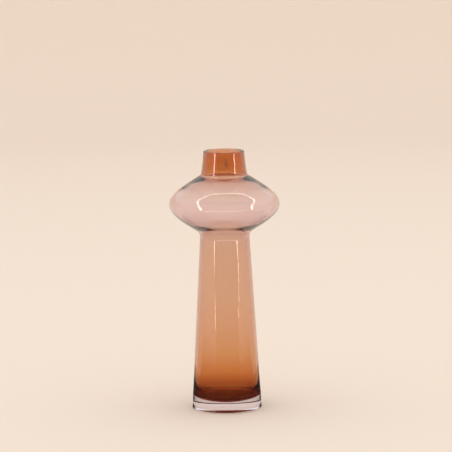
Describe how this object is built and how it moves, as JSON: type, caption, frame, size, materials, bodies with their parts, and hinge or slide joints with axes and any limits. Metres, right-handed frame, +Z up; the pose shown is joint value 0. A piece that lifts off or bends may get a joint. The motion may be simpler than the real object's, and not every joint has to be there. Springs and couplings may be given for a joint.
{
  "type": "glass bud vase",
  "caption": "Tall mouth-blown amber glass bud vase with a disc-shaped bulb under a short open neck, a tapered column and a clear glass foot.",
  "frame": {"origin": "centre of the flat underside of the foot, on the surface that the vase stands on", "axes": "+Z up along the vase's axis, out of the mouth; the label on the neck faces -Y"},
  "size_m": [0.11, 0.11, 0.26],
  "materials": {
    "amber_glass": "fire-polished blown glass, amber with a rose cast, deeper where the wall is thick",
    "clear_glass": "clear polished glass",
    "label_film": null
  },
  "bodies": {
    "root": {"tinted_body": "amber_glass", "clear_foot": "clear_glass", "neck_label": "label_film"}
  },
  "joints": []
}
